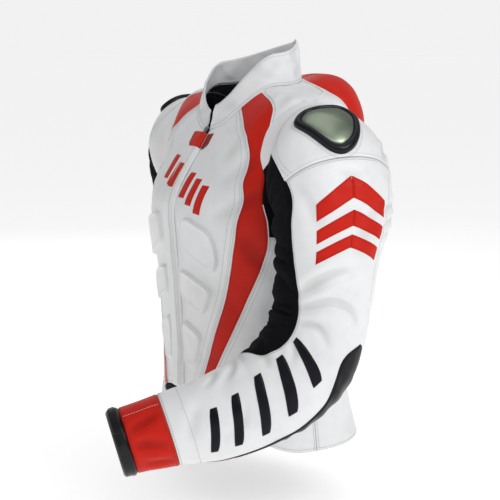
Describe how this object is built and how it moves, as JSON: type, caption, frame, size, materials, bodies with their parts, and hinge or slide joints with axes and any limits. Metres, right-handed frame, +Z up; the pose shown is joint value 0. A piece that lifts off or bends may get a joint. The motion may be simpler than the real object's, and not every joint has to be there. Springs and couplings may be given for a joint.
{
  "type": "leather riding jacket",
  "caption": "Leather riding jacket with stand collar, back hump, bent and straight sleeves with metal shoulder cups, covered front zip and zipped cuffs.",
  "frame": {"origin": "middle of the neck opening, level with the middle of the standing collar", "axes": "+Z up; the wearer faces -Y; the wearer's left is +X"},
  "size_m": [0.6281, 0.4871, 0.6817],
  "materials": {
    "white_leather": "smooth coated cowhide, white",
    "red_leather": "smooth coated cowhide, red",
    "black_leather": "smooth black leather",
    "black_band": "black cuff band with a soft grip",
    "stretch_fabric": "ribbed black stretch weave",
    "foam_pad": "foam under white leather",
    "foam_hump": "foam under red leather",
    "rubber_bezel": "satin black rubber",
    "cup_metal": "satin metal with a green-grey tone",
    "zip_teeth": "moulded teeth on woven tape",
    "zip_metal": "cast slider and pull"
  },
  "bodies": {
    "torso": {"front_panel_left": "white_leather", "red_stripe_left": "red_leather", "side_panel_left": "white_leather", "shoulder_panel_left": "white_leather", "chest_pad_left_1": "foam_pad", "chest_pad_left_2": "foam_pad", "chest_pad_left_3": "foam_pad", "zip_half_left": "zip_teeth", "throat_patch_left": "red_leather", "front_panel_right": "white_leather", "red_stripe_right": "red_leather", "side_panel_right": "white_leather", "shoulder_panel_right": "white_leather", "chest_pad_right_1": "foam_pad", "chest_pad_right_2": "foam_pad", "chest_pad_right_3": "foam_pad", "zip_half_right": "zip_teeth", "throat_patch_right": "red_leather", "back_panel": "white_leather", "back_stretch": "white_leather", "back_yoke": "white_leather", "aero_hump": "foam_hump", "collar": "white_leather", "zip_flap": "white_leather", "throat_patch_middle": "red_leather", "armhole_band_left": "white_leather", "armhole_band_right": "white_leather"},
    "zip_slider": {"zip_slider": "zip_metal"},
    "zip_pull": {"zip_pull": "zip_metal"},
    "upper_arm_left": {"sleeve_head_left": "white_leather", "upper_sleeve_left": "white_leather", "stretch_panel_left": "stretch_fabric", "cup_bezel_left": "rubber_bezel", "shoulder_cup_left": "cup_metal", "elbow_gusset_left": "stretch_fabric"},
    "forearm_left": {"forearm_sleeve_left": "white_leather", "cuff_panel_left": "red_leather", "cuff_band_left": "black_band", "elbow_guard_left": "black_leather", "wrist_tab_left": "black_band", "cuff_zip_left": "zip_teeth"},
    "cuff_slider_left": {"cuff_slider_left": "zip_metal"},
    "cuff_pull_left": {"cuff_pull_left": "zip_metal"},
    "upper_arm_right": {"sleeve_head_right": "white_leather", "upper_sleeve_right": "white_leather", "stretch_panel_right": "stretch_fabric", "cup_bezel_right": "rubber_bezel", "shoulder_cup_right": "cup_metal", "elbow_gusset_right": "stretch_fabric"},
    "forearm_right": {"forearm_sleeve_right": "white_leather", "cuff_panel_right": "red_leather", "cuff_band_right": "black_band", "elbow_guard_right": "black_leather", "wrist_tab_right": "black_band", "cuff_zip_right": "zip_teeth"},
    "cuff_slider_right": {"cuff_slider_right": "zip_metal"},
    "cuff_pull_right": {"cuff_pull_right": "zip_metal"}
  },
  "joints": [
    {"name": "shoulder_left", "type": "hinge", "parent": "torso", "child": "upper_arm_left", "pos_m": [0.178, 0.008, -0.146], "axis": [-1, 0, 0], "range_deg": [-6, 30], "deforming": ["armhole_band_left"]},
    {"name": "shoulder_right", "type": "hinge", "parent": "torso", "child": "upper_arm_right", "pos_m": [-0.178, 0.008, -0.146], "axis": [-1, 0, 0], "range_deg": [-12, 30], "deforming": ["armhole_band_right"]},
    {"name": "elbow_left", "type": "hinge", "parent": "upper_arm_left", "child": "forearm_left", "pos_m": [0.2573, -0.0323, -0.4022], "axis": [-0.9267, 0.3655, -0.0868], "range_deg": [-55, 10], "deforming": ["elbow_gusset_left"]},
    {"name": "elbow_right", "type": "hinge", "parent": "upper_arm_right", "child": "forearm_right", "pos_m": [-0.2499, 0.0594, -0.3916], "axis": [-1, 0, 0], "range_deg": [-15, 60], "deforming": ["elbow_gusset_right"]},
    {"name": "main_zip", "type": "slide", "parent": "torso", "child": "zip_slider", "axis": [0, 0.531, 0.8474], "range_m": [-0.075, 0]},
    {"name": "main_zip_pull", "type": "hinge", "parent": "zip_slider", "child": "zip_pull", "pos_m": [0, -0.07208, -0.10397], "axis": [1, 0, 0], "range_deg": [-12, 0]},
    {"name": "cuff_zip_left", "type": "slide", "parent": "forearm_left", "child": "cuff_slider_left", "axis": [0.2696, 0.95, 0.1578], "range_m": [0, 0.05]},
    {"name": "cuff_zip_right", "type": "slide", "parent": "forearm_right", "child": "cuff_slider_right", "axis": [-0.0215, 0.3338, 0.9424], "range_m": [0, 0.05]},
    {"name": "cuff_pull_left", "type": "hinge", "parent": "cuff_slider_left", "child": "cuff_pull_left", "pos_m": [0.14963, -0.22955, -0.54114], "axis": [-0.6834, 0.0733, 0.7264], "range_deg": [-100, 0]},
    {"name": "cuff_pull_right", "type": "hinge", "parent": "cuff_slider_right", "child": "cuff_pull_right", "pos_m": [-0.18388, 0.02839, -0.60596], "axis": [-0.5044, 0.8102, -0.2985], "range_deg": [-100, 0]}
  ]
}
